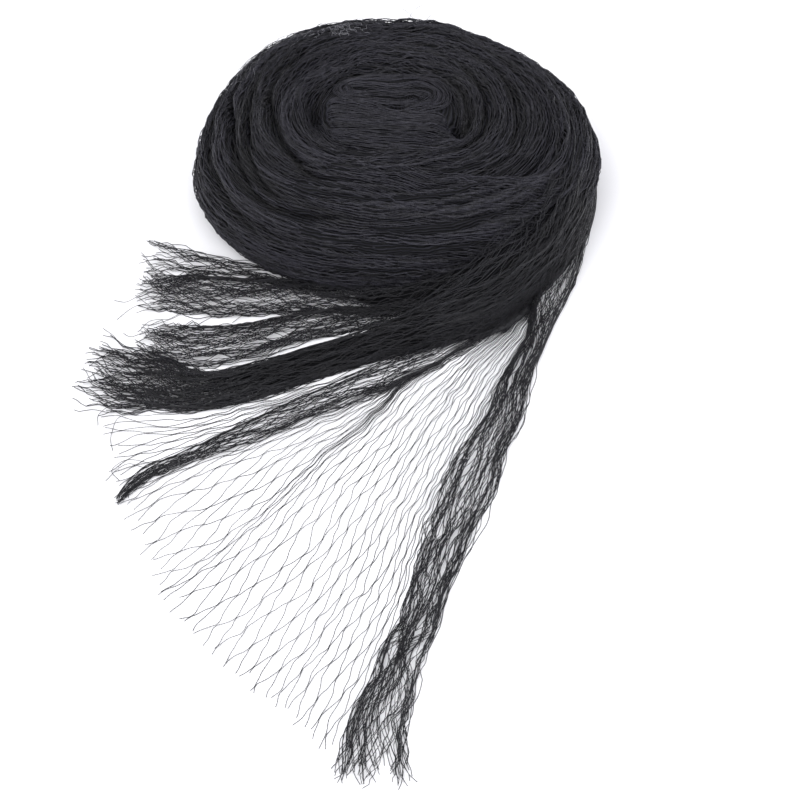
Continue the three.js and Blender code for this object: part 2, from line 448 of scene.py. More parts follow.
# a closed skin from a grid of points (row, around, xyz), shut at both ends by the middle of the row there
def closedSkin(grid, across, tone):
    rows, around, _ = grid.shape
    i = np.arange(rows - 1)[:, None] * around
    j = np.arange(around)[None, :]
    a = i + j
    b = i + (j + 1) % around
    walls = np.stack([a, a + around, b + around, a, b + around, b], axis=-1).reshape(-1, 3)
    top = rows * around
    ring = np.arange(around)
    cap = np.stack([np.full(around, top), ring, (ring + 1) % around], axis=-1)
    last = (rows - 1) * around
    base = np.stack([np.full(around, top + 1), last + (ring + 1) % around, last + ring], axis=-1)
    points = np.concatenate([grid.reshape(-1, 3), grid[0].mean(0)[None], grid[-1].mean(0)[None]])
    return {
        "points": points,
        "faces": np.concatenate([walls, cap, base]),
        "along": np.concatenate([across.reshape(-1), [across[0].mean()], [across[-1].mean()]]),
        "tone": np.full(len(points), tone),
    }


def coilInside():
    angle = np.linspace(0, math.tau, insideCoil["aroundSteps"], endpoint=False)[None, :]
    place = np.linspace(3, sectionLength - 0.5, insideCoil["downSteps"])[:, None]
    grid = windingPoints(angle, place, -insideCoil["below"])
    grid[..., 2] = np.maximum(grid[..., 2], insideCoil["clearance"])
    return closedSkin(grid, np.broadcast_to(place, grid.shape[:2]), 0.3)


# the coil's inside, under the outer turns, in the packed twine's painted shade
makePiece("packedCoil", [coilInside()], paintedShadeTwine)


# The outer turns: locks of twines that lie side by side, each dipping under its neighbours at both ends.
turns = {
    "seed": 21,
    "rowSpacing": 3.6,
    "strandsPerLock": 10,
    "lockWidth": (6.5, 10.0),
    "lockLength": (140, 300),
    "overlap": 0.82,  # how far along a lock the next one of its row starts
    "drift": 5.0,
    "rise": (0.0, 1.0),
    "base": -0.7,
    "sink": 2.4,
    "twine": 0.66,  # two fine twines of the mesh that lie together
    "sampleStep": 5.2,
    "ridge": 2.7,  # spacing of the small ridges that neighbouring twines gather into
    "lastTurn": (62, -130),  # angles between which the last turn lies on top
    "radius": 110,  # turns an angle into a length along the winding
}
wander = softField(5, 26, 120)
crinkle = softField(6, 5, 24)
braid = softField(7, 5, 20)


# a small to-and-fro along each strand, whose wavelength is drawn between low and high
def strandWave(rng, travel, low, high, phase):
    return np.sin(math.tau * travel / rng.uniform(low, high, phase.shape) + phase)


# a lock's strands, from where its middle runs: angles, places and lengths travelled
def coilLock(rng, theta, middle, travel, width, rise, spec=turns):
    strands = spec["strandsPerLock"]
    share = (travel / travel[-1])[None, :]
    travel = travel[None, :]
    theta = theta[None, :]
    taper = np.sin(math.pi * np.clip(share, 0.001, 0.999)) ** 0.45
    edge = np.linspace(-1, 1, strands)[:, None] + rng.normal(0, 0.6 / strands, (strands, 1))
    start = rng.uniform(0, math.tau, (strands, 1))
    wave = 0.36 * strandWave(rng, travel, 22, 38, start)
    wave = wave + 0.2 * strandWave(rng, travel, 12, 17, 2.3 * start)
    down = middle[None, :] + edge * width / 2 * (0.45 + 0.55 * taper) + wave
    run = theta * spec["radius"]
    sway = down + 2.4 * wander(down * 0.6 + 90, run) + 0.45 * braid(down, run)
    down = down + 0.75 * np.sin(math.tau * sway / spec["ridge"]) * spec["ridge"] / math.tau
    ridge = np.cos(math.tau * sway / spec["ridge"] + math.pi)
    lift = spec["base"] + rise * (1 - edge ** 2) * taper - spec["sink"] * (1 - taper) ** 1.5 + ridge
    lift = lift + 0.25 * strandWave(rng, travel, 18, 30, 1.7 * start)
    lift = lift + 0.4 * crinkle(down, run)
    paths = windingPoints(theta, np.clip(down, 40, sectionLength - 1.0), lift)
    paths[..., 2] = np.maximum(paths[..., 2], spec["twine"] / 2 + 0.2)
    # painted highlight and painted shade: besides a random tone for each strand and lock, the tone is raised
    # on the tops of the small ridges and lowered in their gaps, and lowered further in the deep furrows
    tone = 0.42 + 0.18 * rng.normal(size=(strands, 1)) + 0.12 * rng.normal() + 0.16 * ridge
    tone = np.clip(tone - 0.1 * furrowDepth(theta, down), 0, 1)
    return twineTubes(paths, spec["twine"] * rng.uniform(0.85, 1.1, (strands, 1)), tone)


# lays locks end to end along one row of the winding, whose place is placeAt(angle), from angle to angle
def coilRow(rng, placeAt, fromAngle, toAngle):
    theta = np.radians(np.arange(fromAngle, toAngle, -1.0))
    if len(theta) < 12:
        return []
    spots = windingPoints(theta, placeAt(theta), 0.0)
    travelled = np.concatenate([[0], np.cumsum(np.linalg.norm(np.diff(spots, axis=0), axis=1))])
    batches = []
    begin = -rng.uniform(0, 60)
    while begin < travelled[-1] - 40:
        length = rng.uniform(*turns["lockLength"])
        first, last = max(begin, 0), min(begin + length, travelled[-1])
        begin += length * turns["overlap"]
        if last - first < 50:
            continue
        travel = np.linspace(first, last, max(8, int((last - first) / turns["sampleStep"])))
        at = np.interp(travel, travelled, theta)
        share = (travel - first) / (last - first)
        middle = placeAt(at) + rng.normal(0, turns["drift"]) * (share - 0.5)
        middle = middle + 1.8 * wander(placeAt(at), at * turns["radius"])
        width = rng.uniform(*turns["lockWidth"])
        rise = rng.uniform(*turns["rise"]) * (1 - 0.6 * float(smoothStep(middle.mean(), 110, 150)))
        batches.append(coilLock(rng, at, middle, travel - first, width, rise))
    return batches


def coilTurns():
    rng = np.random.default_rng(turns["seed"])
    over, under = turns["lastTurn"]
    batches = []
    # the turns underneath run until they pass below the inner edge of the last one
    for place in np.arange(firstTurn["place"] + 1, sectionLength - 3, turns["rowSpacing"]):
        angles = np.arange(over, -180, -1.0)
        hidden = angles[ledgeAt(np.radians(angles))[0] < place - 3]
        if place < ledgePlaces[0] + 2:
            end = 230 - 360
        else:
            end = hidden[0] if len(hidden) else -180
        turn = rng.uniform(-8, 8)
        batches += coilRow(rng, lambda theta: place + 0 * theta, 360 + under + turn, end)
    # the last turn spreads from the steep right side over the front wall
    spread = sectionLength - 3 - ledgePlaces.min()
    for share in np.arange(0.006, 1, turns["rowSpacing"] / spread):
        def placeAt(theta):
            inner = ledgeAt(theta)[0]
            return inner + 2.5 + share * (sectionLength - 5 - inner)
        batches += coilRow(rng, placeAt, over + rng.uniform(-6, 6), under + rng.uniform(-10, 10))
    return batches


coilBatches = coilTurns()
perPiece = math.ceil(len(coilBatches) / 4)
for number, first in enumerate(range(0, len(coilBatches), perPiece)):
    makePiece(f"coilTurns{number + 1}", coilBatches[first:first + perPiece], coilTwine)


# The folded core: the winding's first fold, whose twines run from one pocket to the other. Each line gives
# x, y and how far it lies above the surface.
coreFolds = {
    "seed": 61,
    "strands": 9,
    "width": 6.0,
    "twine": 0.66,
    "step": 3.2,
    "lines": [
        [(-20, 13, -1), (-34, 12, 0.6), (-43, 16, 1.4), (-46, 24, 1.8), (-41, 32, 2), (-28, 33, 2),
         (-3, 30, 2.4), (18, 33, 2.2), (30, 31, 1.8), (38, 20, 1.2), (35, 6, 0.8), (20, 0, 0.5), (2, -3, 0),
         (-14, 0, -1)],
        [(-24, 18, -1), (-36, 19, 0), (-38, 25, 0.4), (-28, 26, 1), (-2, 23, 1.2), (20, 25, 1),
         (30, 19, 0.6), (28, 9, 0), (16, 4, 0), (4, 2, -2)],
        [(-32, 16, -1), (-20, 18, 0), (-2, 16, 0.6), (14, 18, 0.4), (24, 14, 0), (18, 9, -1)],
        [(-34, 11, -1), (-20, 10, 0), (-6, 8, 0), (8, 9, -1), (16, 11, -2)],
        [(-60, 16, -8), (-50, 12, -1), (-35, 8, 0.5), (-16, 3.5, 0.5), (-4, -1.5, 0.6), (6, -4.5, 0.6),
         (25, -6, 0), (36, -7, -2), (44, -6, -8)],
        [(-61, 9, -9), (-50, 4, -1), (-35, 1, 0.5), (-16, -3, 0.8), (2, -7, 0.8), (25, -10, 0.3),
         (37, -9, -2), (44, -8, -8)],
        [(-61, 3, -9), (-50, -2, -1), (-35, -5, 0.5), (-10, -9, 1), (15, -12, 0.8), (30, -13, 0),
         (43, -11, -7)],
        [(-60, -3, -8), (-48, -9, -1), (-33, -12, 0.3), (-5, -15, 0.8), (22, -17, 0.6), (36, -17, 0),
         (46, -14, -6)],
        [(-58, -8, -7), (-47, -15, -1), (-30, -18, 0.2), (0, -21, 0.6), (25, -22, 0.4), (42, -21, 0),
         (50, -16, -5)],
        [(-56, -13, -5), (-43, -21, 0), (-22, -26, 0), (5, -28, 0.4), (28, -29, 0.2), (43, -27, 0),
         (52, -20, -3)],
        [(-52, -19, -3), (-36, -28, 0), (-12, -33, 0), (15, -36, 0), (33, -37, 0), (47, -31, 0),
         (55, -22, -2)],
    ],
}


def coreLock(rng, line, spec=coreFolds):
    line = np.array(line, float)
    chord = chordLengths(line[:, :2])
    travel = np.linspace(0, chord[-1], int(chord[-1] / spec["step"]))
    x, y, lift = smoothThrough(chord, line, travel).T
    heading = headings(np.stack([x, y], axis=-1))
    strands = spec["strands"]
    edge = np.linspace(-1, 1, strands)[:, None] + rng.normal(0, 0.5 / strands, (strands, 1))
    start = rng.uniform(0, math.tau, (strands, 1))
    beside = edge * spec["width"] / 2 + 0.4 * strandWave(rng, travel, 18, 30, start)
    beside = beside + 0.8 * wander(travel[None, :] / 3, beside)
    above = lift[None, :] - 0.4 + 0.5 * (1 - edge ** 2)
    above = above + 0.35 * strandWave(rng, travel, 14, 26, 2 * start)
    paths = crownPoints(x + heading[:, 1] * beside, y - heading[:, 0] * beside, above)
    tone = np.clip(0.5 + 0.2 * rng.normal(size=(strands, 1)), 0, 1)
    return twineTubes(paths, spec["twine"] * rng.uniform(0.85, 1.1, (strands, 1)), tone)


def coreLocks():
    rng = np.random.default_rng(coreFolds["seed"])
    return [coreLock(rng, line) for line in coreFolds["lines"]]


makePiece("foldedCore", coreLocks(), coilTwine)


# The gathered bunches of the loose end. Their rows are sections from the coil outwards: the middle of each on
# the floor, its width and height, and which part of the heap the twines cover, in degrees from the outer foot
# (0) over the ridge (90) to the inner foot (180). A row without angles is covered from foot to foot.
# cross and kink: how far the twines stray over their neighbours and by themselves. clump: how far they gather
# into ribs. loose: length of the frayed end, in which tuft, curl and fanOut part them. fray: how unevenly
# they are cut. open: length in which the gathered mesh opens again into diamonds, across of them in a row.
# from: how far towards the coil the inner layers reach, as a share of the length. skew: how far each column's
# joints lie behind the next one's. crowd: over 1 where they lie closer at the back, and under 1 in front.
plainBunch = {"layers": 3, "perBar": 6, "twine": 0.6, "fanOut": 0, "open": 0, "skew": 0, "crowd": 1.0}
bunches = {
    "neckSide": {
        "columns": 84, "layers": 1, "seed": 36, "perBar": 5, "twine": 0.8, "cross": 0.5, "kink": 0.35,
        "clump": 1.0, "loose": 20, "fray": 10, "tuft": 0, "curl": 1, "from": 0.7,
        "rows": [
            (80, 90, 28, 32, 20, 90), (110, 40, 58, 58, 0, 78), (120, -10, 66, 62, 0, 70),
            (108, -58, 65, 55, 0, 66), (81, -94, 62, 45, 0, 62), (47, -127, 50, 34, 0, 70),
            (14, -149, 32, 23, 0, 90),
        ],
    },
    "rightEdge": {
        "columns": 70, "seed": 31, "twine": 0.57, "cross": 0.6, "kink": 0.45, "clump": 2.0, "loose": 22,
        "fray": 15, "tuft": 1.0, "curl": 1.0, "open": 118, "across": 8, "from": 0.85, "skew": 3.5,
        "rows": [
            (112, 40, 60, 58, 8, 40), (122, -10, 66, 62, 6, 40), (115, -58, 59, 48, 0, 50),
            (115, -90, 43, 28, 0, 110), (114, -113, 28, 12, 0, 170), (108, -136, 19, 9),
            (100, -161, 16, 8), (93, -176, 19, 7), (86, -194, 23, 6),
            (77, -223, 26, 5), (65, -249, 30, 5), (53, -279, 37, 5),
            (44, -303, 35, 4), (31, -336, 29, 4), (20, -374, 26, 4),
            (12, -399, 27, 4), (4, -416, 33, 4), (-2, -439, 34, 3),
            (-12, -466, 39, 3), (-16, -500, 50, 2), (-17, -513, 55, 2),
        ],
    },
    "thinFold": {
        "columns": 30, "layers": 2, "seed": 32, "cross": 0.8, "kink": 0.7, "clump": 2.4, "loose": 22,
        "fray": 8, "tuft": 0.5, "curl": 1, "from": 0.7,
        "rows": [
            (109, -58, 67, 55, 4, 20), (81, -94, 62, 45, 0, 14), (52, -144, 28, 14, 0, 70),
            (26, -165, 25, 10, 0, 160), (-6, -184, 24, 7), (-34, -198, 22, 6),
            (-70, -217, 19, 6), (-111, -239, 17, 5), (-150, -258, 12, 4),
            (-180, -274, 7, 3), (-190, -284, 5, 3), (-198, -296, 4, 2),
        ],
    },
    "frontTail": {
        "columns": 184, "layers": 4, "seed": 33, "twine": 0.68, "cross": 1.0, "kink": 0.8, "clump": 2.0,
        "loose": 105, "fray": 40, "tuft": 7, "curl": 2.0, "fanOut": 3, "from": 0.68, "crowd": 0.86,
        "rows": [
            (112, 40, 60, 58, 38, 88), (121, -10, 66, 62, 34, 88), (109, -58, 67, 55, 28, 88),
            (81, -94, 62, 45, 2, 92), (49, -127, 48, 36, 0, 110), (12, -149, 30, 22, 0, 160),
            (-15, -159, 26, 17), (-50, -171, 26, 13), (-93, -187, 29, 11),
            (-120, -196, 31, 9), (-140, -200, 34, 7), (-158, -198, 39, 6),
            (-175, -192, 45, 5), (-198, -186, 48, 4), (-222, -180, 50, 3),
        ],
    },
    "middleTail": {
        "columns": 78, "seed": 34, "cross": 1.1, "kink": 1.0, "clump": 1.8, "loose": 50, "fray": 18,
        "tuft": 2.5, "curl": 1.5, "from": 0.68, "crowd": 1.05,
        "rows": [
            (112, 40, 60, 58, 80, 120), (121, -10, 66, 62, 80, 125), (109, -58, 67, 55, 80, 130),
            (81, -94, 62, 45, 80, 140), (44, -121, 40, 30, 70, 170), (-11, -131, 18, 7),
            (-50, -137, 25, 5), (-85, -146, 29, 5), (-108, -154, 32, 7),
            (-128, -158, 36, 6), (-147, -160, 37, 6), (-167, -158, 32, 5),
            (-190, -153, 22, 4),
        ],
    },
    "backTail": {
        "columns": 90, "seed": 35, "cross": 1.1, "kink": 1.0, "clump": 2.0, "loose": 52, "fray": 18,
        "tuft": 3, "curl": 2, "fanOut": 1, "from": 0.75, "crowd": 1.15,
        "rows": [
            (96, -84, 50, 36, 100, 150), (50, -112, 34, 30, 40, 180), (-4, -117, 28, 18),
            (-50, -114, 28, 8), (-71, -113, 29, 7), (-94, -113, 32, 10),
            (-120, -114, 35, 9), (-150, -111, 36, 8), (-171, -108, 30, 6),
            (-193, -105, 27, 3),
        ],
    },
    "backTailTop": {
        "columns": 30, "layers": 2, "seed": 37, "cross": 1.2, "kink": 0.9, "clump": 1.8, "loose": 50,
        "fray": 18, "tuft": 1.5, "curl": 1.5, "from": 0.9,
        "rows": [
            (40, -108, 12, 14), (-10, -112, 10, 10), (-40, -108, 9, 8),
            (-76, -101, 9, 6), (-99, -93, 13, 5), (-125, -86, 16, 4),
            (-151, -81, 20, 4), (-174, -76, 24, 3), (-194, -71, 24, 2),
        ],
    },
}


# the bunch's sections at every millimetre, from the cut end to the coil
def bunchLine(rows):
    rows = np.array([(*row, 0, 180)[:6] for row in rows], float)[::-1]
    chord = chordLengths(rows[:, :2])
    keys = np.arange(0, chord[-1], 1.0)
    line = smoothThrough(chord, rows, keys)
    heading = headings(line[:, :2])
    side = np.stack([heading[:, 1], -heading[:, 0]], axis=1)
    return keys, np.concatenate([line, side], axis=1)


# a place on a heap's rounded section, evenly spaced from the outer foot (0) to the inner foot (1)
def archSpot(share, width, height):
    roundness = np.clip(2 * height / width, 0, 1)
    inside = np.clip(share, 0, 1)
    across = (1 - roundness) * (1 - 2 * inside) + roundness * np.cos(math.pi * inside)
    rise = height * np.sqrt(np.clip(1 - across ** 2, 0, 1))
    return (across - 2 * (share - inside)) * width / 2, rise


# where columns lie across a bunch whose mesh opens: closer together in a few soft creases and at its edges
def openedShares(rng, creases=3):
    keys = np.linspace(0, 1, 301)
    places = rng.uniform(0.1, 0.9, creases)
    density = 0.8 + sum(0.9 * np.exp(-(((keys - place) / 0.04) ** 2)) for place in places)
    density = density + 0.4 * np.exp(-((keys / 0.04) ** 2)) + 0.9 * np.exp(-(((keys - 1) / 0.14) ** 2))
    order = np.cumsum(density) - density[0]
    return order / order[-1], keys


def bunchPaths(spec):
    rng = np.random.default_rng(spec["seed"])
    keys, line = bunchLine(spec["rows"])
    perLayer = math.ceil(spec["columns"] / spec["layers"])
    ribs = softField(spec["seed"] + 100, 7, 130)
    fine = softField(spec["seed"] + 150, 2.6, 28)
    kinks = softField(spec["seed"] + 500, 1.2, 24)
    drape = softField(spec["seed"] + 200, 8, 90)
    slip = softField(spec["seed"] + 300, 9, 260)
    tufts = softField(spec["seed"] + 600, 11, 300)
    curls = softField(spec["seed"] + 400, 6, 1000)
    beyond = 3.0  # rows of joints that run on past the cut end, for the fraying
    places = barPlaces(math.ceil(keys[-1] / mesh["rowSpacing"]) + 4, spec["perBar"]) - beyond
    opened = openedShares(rng)
    batches = []
    for layer in range(spec["layers"]):
        column = np.arange(layer * perLayer, min((layer + 1) * perLayer, spec["columns"]))[:, None]
        position = np.broadcast_to(places[None, :], (len(column), len(places)))
        wave = barWave(position + column)
        s = position * mesh["rowSpacing"] - 7 * slip(column * 1.0, position * mesh["rowSpacing"])
        s = s + (spec["skew"] * column) % (2 * mesh["rowSpacing"]) + spec["skew"] * wave / 2
        at = np.stack([np.interp(s, keys, line[:, i]) for i in range(8)], axis=-1)
        x, y, width, height, low, high, sideX, sideY = np.moveaxis(at, -1, 0)
        past = np.minimum(s, 0)
        x = x + past * (line[1, 0] - line[0, 0])
        y = y + past * (line[1, 1] - line[0, 1])
        around = (high - low) / 180 * math.pi / 2 * (width / 2 + height)
        share = (column - layer * perLayer + 0.5 + 0.45 * wave) / perLayer
        if layer % 2:
            share = 1 - share
        share = 1 - (1 - np.clip(share, 0, 1)) ** spec["crowd"]
        shut = np.ones(share.shape)
        if spec["open"]:
            shut = smoothStep(s, 0.5 * spec["open"], 1.15 * spec["open"])
            cell = (column - layer * perLayer) * spec["across"] // perLayer
            apart = (cell + 0.5 + 0.46 * wave) / spec["across"] + 0.03 * (layer - 1)
            share = shut * share + (1 - shut) * np.interp(apart, *opened)
        spot = share * around + 60 * layer
        end = np.clip(1 - s / spec["loose"], 0, 1.4) ** 2
        curl = 0.8 * curls(column * 1.0, 0.0) + 0.7 * rng.normal(size=column.shape)
        hooked = np.where(rng.random(column.shape) < 0.2, rng.normal(0, 2 * spec["curl"], column.shape), 0)
        beside = spec["clump"] * ribs(spot, s) + spec["cross"] * fine(spot, s)
        beside = beside + spec["kink"] * kinks(column * 1.0, s + 40 * layer)
        beside = beside * (0.3 + 0.7 * shut) * (1 + 0.5 * end)
        parted = spec["tuft"] * tufts(spot, s) + curl * spec["curl"] + (2 * share - 1) * spec["fanOut"]
        beside = beside + end * parted
        beside = beside + hooked * np.clip(1 - s / 16, 0, 1.4) ** 2
        share = share + beside / around
        across, rise = archSpot((low + (high - low) * share) / 180, width, height)
        rest = 1 - 0.8 * layer / max(1, spec["layers"] - 1)
        rise = rise * rest + 0.07 * height * drape(spot, s) + end * np.abs(rng.normal(0, 1.2, column.shape))
        rise = np.maximum(rise, 0) + 0.5 + 0.3 * spec["kink"] * (1 + kinks(column * 1.0 + 50, s))
        rise = np.maximum(rise, 0.6 * spec["twine"])
        paths = np.stack([x + sideX * across, y + sideY * across, rise], axis=-1)
        ends = spec["fray"] * (np.abs(rng.normal(0, 1, column.shape)) - 0.3)
        reach = 1 if layer == 0 else spec["from"] + rng.uniform(-0.05, 0.05)
        start = keys[-1] * reach
        for k in range(len(column)):
            kept = (s[k] > max(ends[k, 0], s[k, 0] - 1)) & (s[k] < start)
            tone = np.clip(0.4 + 0.2 * rng.normal(), 0, 1)
            batches.append(twineTubes(paths[k:k + 1, kept], spec["twine"] * rng.uniform(0.85, 1.1), tone))
    return batches


for name, spec in bunches.items():
    makePiece(name, bunchPaths({**plainBunch, **spec}), looseTwine)


# The imported inside of the neck and of the bunches that are closed from above, drawn in the darker packed
# twine as painted shade: middle, width and height.
packedInsides = {
    "packedNeck": [
        (80, 86, 18, 20), (108, 40, 50, 52), (121, -10, 60, 58),
        (109, -58, 61, 51), (82, -94, 55, 40), (50, -124, 42, 28),
        (11, -149, 25, 18), (-40, -168, 20, 10), (-86, -184, 21, 7),
        (-122, -195, 15, 4),
    ],
    "packedTails": [
        (84, -94, 40, 34), (44, -114, 30, 26), (0, -117, 18, 12),
        (-22, -115, 10, 5), (-37, -114, 3, 2),
    ],
}
insideStep = 7.0
insideAround = 30


def bunchInside(rows):
    rows = np.array(rows, float)
    chord = chordLengths(rows[:, :2])
    line = smoothThrough(chord, rows, np.arange(0, chord[-1], insideStep))
    heading = headings(line[:, :2])
    turn = np.linspace(0, math.tau, insideAround, endpoint=False)[None, :]
    across = np.cos(turn) * line[:, 2:3] / 2
    rise = np.maximum(np.sin(turn), 0) * line[:, 3:4] + 0.3
    x = line[:, 0:1] - heading[:, 1:2] * across
    y = line[:, 1:2] + heading[:, 0:1] * across
    return closedSkin(np.stack([x, y, rise], axis=-1), np.broadcast_to(turn * 30, x.shape), 0.2)


for name, rows in packedInsides.items():
    makePiece(name, [bunchInside(rows)], paintedShadeTwine)


# Lines that the mesh runs along, each from the neck to the cut edge, and its share of the cut edge, counted
# from the thick right edge.
fan = {
    "columns": 62,
    "seed": 41,
    "perBar": 24,
    "twine": 0.53,
    "stitch": 2.0,  # the knitted stitches make the twine thick and thin; drawn coarser than the real 0.8 mm
    "skew": 4.0,  # how far each column's joints lie behind those of the next one, as the mesh is pulled askew
    # soft creases along which the columns lie close together: place, width and strength
    "neckCreases": [(0.02, 0.03, 1.0), (0.52, 0.03, 1.7), (0.74, 0.06, 1.0)],
    "cutCreases": [(0.0, 0.02, 1.0), (0.52, 0.015, 1.0), (0.78, 0.05, 0.6)],
    "lines": [
        (0.0, [(108, -116), (97, -148), (82, -180), (68, -208), (50, -248), (36, -276), (20, -316), (6, -366),
               (-8, -405), (-22, -440), (-38, -472), (-44, -492)]),
        (0.27, [(103, -118), (92, -133), (76, -152), (57, -174), (31, -211), (6, -253), (-16, -293),
                (-36, -333), (-58, -371), (-83, -406), (-107, -440)]),
        (0.52, [(99, -120), (84, -138), (54, -156), (25, -176), (3, -196), (-15, -219), (-32, -236),
                (-50, -252), (-76, -283), (-103, -314), (-133, -345), (-165, -370)]),
        (0.77, [(94, -120), (76, -138), (54, -154), (30, -172), (1, -189), (-31, -203), (-63, -217),
                (-96, -232), (-127, -247), (-155, -263), (-179, -277), (-198, -294)]),
        (1.0, [(88, -118), (66, -134), (40, -150), (6, -166), (-37, -183), (-83, -203), (-114, -212),
               (-134, -219), (-163, -224), (-194, -222), (-218, -220)]),
    ],
}


def fanGrid(shares=121, stations=121):
    along = np.linspace(0, 1, stations)
    lines = []
    reaches = []
    for _, points in fan["lines"]:
        points = np.array(points, float)[::-1]
        chord = chordLengths(points)
        lines.append(smoothThrough(chord / chord[-1], points, along))
        reaches.append(chord[-1])
    keys = np.array([share for share, _ in fan["lines"]])
    at = np.linspace(0, 1, shares)
    grid = smoothThrough(keys, np.array(lines).reshape(len(keys), -1), at).reshape(shares, stations, 2)
    return grid, np.interp(at, keys, reaches)


def readGrid(grid, u, v):
    rows, columns = grid.shape[:2]
    u = np.clip(u, -0.02, 1.02) * (rows - 1)
    v = np.clip(v, 0, 1) * (columns - 1)
    i = np.clip(np.floor(u).astype(int), 0, rows - 2)
    j = np.clip(np.floor(v).astype(int), 0, columns - 2)
    a = (u - i)[..., None]
    b = (v - j)[..., None]
    return (
        grid[i, j] * (1 - a) * (1 - b)
        + grid[i + 1, j] * a * (1 - b)
        + grid[i, j + 1] * (1 - a) * b
        + grid[i + 1, j + 1] * a * b
    )


# the share of the fan at which each column lies, with the columns closer together along the creases
def creasedShare(column, creases):
    keys = np.linspace(0, 1, 201)
    density = 1 + sum(size * np.exp(-(((keys - place) / wide) ** 2)) for place, wide, size in creases)
    order = np.cumsum(density) - density[0]
    return np.interp(column, order / order[-1] * fan["columns"], keys)


def fanPaths():
    rng = np.random.default_rng(fan["seed"])
    grid, reaches = fanGrid()
    count = fan["columns"]
    column = np.arange(count)[:, None]

    def shareOf(place, fromCut):
        atNeck = creasedShare(place, fan["neckCreases"])
        atCut = creasedShare(place, fan["cutCreases"])
        return atCut + (atNeck - atCut) * smoothStep(fromCut, 0, 0.6)

    middle = shareOf(column + 0.5, 0.3)
    reach = np.interp(middle, np.linspace(0, 1, len(reaches)), reaches)
    before = math.ceil(fan["skew"] * count / mesh["rowSpacing"])
    rows = math.ceil(reaches.max() / mesh["rowSpacing"]) + 1 + before
    places = barPlaces(rows, fan["perBar"])[None, :] - before
    position = np.broadcast_to(places, (count, places.size))
    wave = 0.5 * barWave(position + column + 2 * before)
    slip = softField(402, 12, 140)
    s = (position * mesh["rowSpacing"] + fan["skew"] * (column + 0.5 + wave)
         - 4 * slip(column * 1.0, position * mesh["rowSpacing"]))
    fromCut = s / reach
    beside = (readGrid(grid, shareOf(column + 1.0, fromCut), fromCut)
              - readGrid(grid, shareOf(column + 0.0, fromCut), fromCut))
    gap = np.linalg.norm(beside, axis=-1)
    near = softField(401, 4, 90)
    moved = column + 0.5 + wave * np.clip(1 - fan["twine"] / gap, 0, 1)
    moved = moved + 0.16 * near(moved, s)
    spot = readGrid(grid, shareOf(moved, fromCut), fromCut)
    bendX = softField(403, 34, 34)
    bendY = softField(405, 34, 34)
    spot = spot + 0.6 * np.stack([bendX(spot[..., 0], spot[..., 1]), bendY(spot[..., 0], spot[..., 1])], -1)
    ripple = softField(404, 60, 60)
    z = 0.4 + 0.6 * (1 + ripple(spot[..., 0], spot[..., 1])).clip(0, 2)
    paths = np.concatenate([spot, z[..., None]], axis=-1)
    thick = fan["twine"] * (1 + 0.2 * np.sin(math.tau * s / fan["stitch"]))
    cut = np.abs(rng.normal(0, 6, count))
    batches = []
    for k in range(count):
        kept = (s[k] > cut[k]) & (s[k] < reach[k, 0])
        tone = np.clip(0.4 + 0.2 * rng.normal(), 0, 1)
        batches.append(twineTubes(paths[k:k + 1, kept], thick[k:k + 1, kept], tone))
    return batches


makePiece("openFan", fanPaths(), looseTwine)


# Single twines that stray from the tails and the thin fold, as points on the floor, from the heap outwards.
strays = {
    "seed": 51,
    "twine": 0.5,
    "step": 2.0,
    "wobble": 0.5,
    "lines": [
        [(-176, -176), (-187, -172), (-206, -156), (-220, -140)],
        [(-180, -180), (-196, -172), (-212, -166), (-230, -160)],
        [(-182, -190), (-196, -184), (-215, -179), (-229, -175)],
        [(-180, -206), (-198, -205), (-213, -198), (-226, -195)],
        [(-170, -214), (-194, -217), (-209, -213), (-216, -220), (-217, -231)],
        [(-150, -218), (-179, -222), (-202, -225), (-206, -235), (-204, -253)],
        [(-142, -122), (-160, -129), (-180, -139), (-191, -138)],
        [(-112, -126), (-136, -132), (-147, -137), (-150, -141)],
        [(-100, -126), (-118, -133), (-125, -138)],
        [(-140, -120), (-161, -128), (-171, -135), (-185, -136), (-194, -146)],
        [(-164, -264), (-176, -263), (-199, -263), (-203, -270), (-197, -278)],
        [(-162, -262), (-173, -267), (-194, -265), (-205, -274), (-208, -278)],
        [(-170, -268), (-185, -277), (-190, -287), (-194, -294), (-200, -297)],
        [(-168, -270), (-179, -274), (-187, -280), (-190, -293)],
        [(-168, -104), (-190, -110), (-206, -118), (-214, -116)],
        [(-166, -112), (-186, -120), (-199, -124), (-210, -134)],
        [(-166, -150), (-186, -146), (-198, -150), (-206, -146)],
        [(-170, -166), (-184, -160), (-196, -152)],
    ],
}


def strayPaths():
    rng = np.random.default_rng(strays["seed"])
    batches = []
    for line in strays["lines"]:
        line = np.array(line, float)
        chord = chordLengths(line)
        travel = np.arange(0, chord[-1], strays["step"])
        spot = smoothThrough(chord, line, travel)
        phase = rng.uniform(0, math.tau, 3)
        x = spot[:, 0] + strays["wobble"] * np.sin(travel / 3.1 + phase[0])
        y = spot[:, 1] + strays["wobble"] * np.sin(travel / 3.7 + phase[1])
        z = 0.5 + 2.0 * np.sin(math.pi * travel / chord[-1]) ** 2
        batches.append(twineTubes(np.stack([x, y, z], axis=-1)[None], strays["twine"], 0.4))
    return batches


makePiece("strayTwines", strayPaths(), looseTwine)
